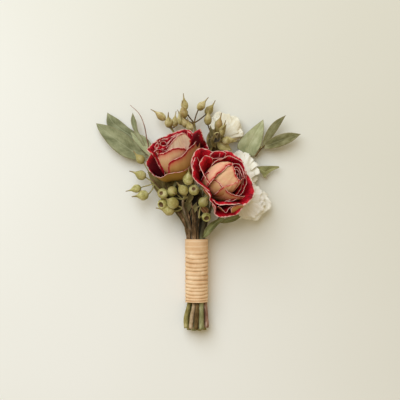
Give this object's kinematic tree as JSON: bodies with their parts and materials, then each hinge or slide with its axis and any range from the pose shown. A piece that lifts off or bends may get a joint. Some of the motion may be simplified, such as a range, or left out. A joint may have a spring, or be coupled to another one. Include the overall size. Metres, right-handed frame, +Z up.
{
  "type": "dried flower bouquet",
  "caption": "Small bouquet of dried roses, cream carnations, seeded eucalyptus and narrow leaves, its cut stems wound with ribbon, lying on its back.",
  "frame": {"origin": "middle of the bouquet's bounding box, on the surface that it lies on", "axes": "+Y runs from the cut stem ends to the flower heads, +Z points up off the surface, +X to the right seen from above"},
  "size_m": [0.1435, 0.1654, 0.0498],
  "materials": {
    "right_rose_petals": "dried petal, red inside and tan to cream outside",
    "right_rose_stem": "dried stem, matt",
    "left_rose_petals": "dried petal, red inside and tan to cream outside",
    "left_rose_stem": "dried stem, matt",
    "main_carnation_petals": "dried petal, finely streaked",
    "main_carnation_stem": "dried stem, matt",
    "top_carnation_petals": "dried petal, finely streaked",
    "top_carnation_stem": "dried stem, matt",
    "left_seed_spray": "dried seed case, satin",
    "middle_seed_spray": "dried seed case, satin",
    "low_seed_spray": "dried seed case, satin",
    "upper_left_seed_spray": "dried seed case, satin",
    "upper_middle_seed_spray": "dried seed case, satin",
    "upper_right_seed_spray": "dried seed case, satin",
    "left_leafy_twig": "dried leaf, matt",
    "right_leafy_twig": "dried leaf, matt",
    "ribbon_wrap": "soft ribbon, matt"
  },
  "bodies": {
    "root": {"right_rose_petals": "right_rose_petals", "right_rose_stem": "right_rose_stem", "left_rose_petals": "left_rose_petals", "left_rose_stem": "left_rose_stem", "main_carnation_petals": "main_carnation_petals", "main_carnation_stem": "main_carnation_stem", "top_carnation_petals": "top_carnation_petals", "top_carnation_stem": "top_carnation_stem", "left_seed_spray": "left_seed_spray", "middle_seed_spray": "middle_seed_spray", "low_seed_spray": "low_seed_spray", "upper_left_seed_spray": "upper_left_seed_spray", "upper_middle_seed_spray": "upper_middle_seed_spray", "upper_right_seed_spray": "upper_right_seed_spray", "left_leafy_twig": "left_leafy_twig", "right_leafy_twig": "right_leafy_twig", "ribbon_wrap": "ribbon_wrap"}
  },
  "joints": []
}
